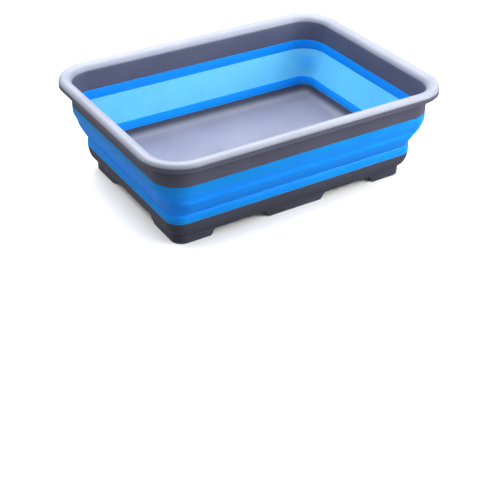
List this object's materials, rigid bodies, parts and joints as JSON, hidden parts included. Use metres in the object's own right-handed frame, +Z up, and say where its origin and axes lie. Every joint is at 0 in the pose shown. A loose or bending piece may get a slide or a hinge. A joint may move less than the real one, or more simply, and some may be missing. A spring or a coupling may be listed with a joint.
{
  "type": "collapsible wash basin",
  "caption": "Rectangular basin with a rigid rolled rim, a soft folding wall and a rigid tray on feet; the rim slides straight down to collapse it.",
  "frame": {"origin": "middle of the basin on the ground, at the bottoms of the feet", "axes": "+X along the long sides, +Y along the short sides, +Z up, out of the basin's mouth"},
  "size_m": [0.37, 0.27, 0.116],
  "materials": {
    "rim_plastic": "satin grey moulded plastic",
    "band_elastomer": "satin blue elastomer",
    "panel_elastomer": "thin translucent blue elastomer",
    "tray_plastic": "fine satin grey moulded plastic"
  },
  "bodies": {
    "base": {"base_tray": "tray_plastic", "lower_wall_band": "band_elastomer", "lower_fold_panel": "panel_elastomer"},
    "crease": {"mid_wall_crease": "band_elastomer"},
    "rim": {"rim_frame": "rim_plastic", "upper_wall_band": "band_elastomer", "upper_fold_panel": "panel_elastomer"}
  },
  "joints": [
    {"name": "collapse", "type": "slide", "parent": "base", "child": "rim", "axis": [0, 0, 1], "range_m": [-0.064, 0], "deforming": ["upper_fold_panel", "lower_fold_panel"]},
    {"name": "crease_follow", "type": "slide", "parent": "base", "child": "crease", "axis": [0, 0, 1], "range_m": [-0.032, 0]}
  ],
  "couplings": [
    {"joint": "crease_follow", "follows": "collapse", "ratio": 0.5}
  ]
}
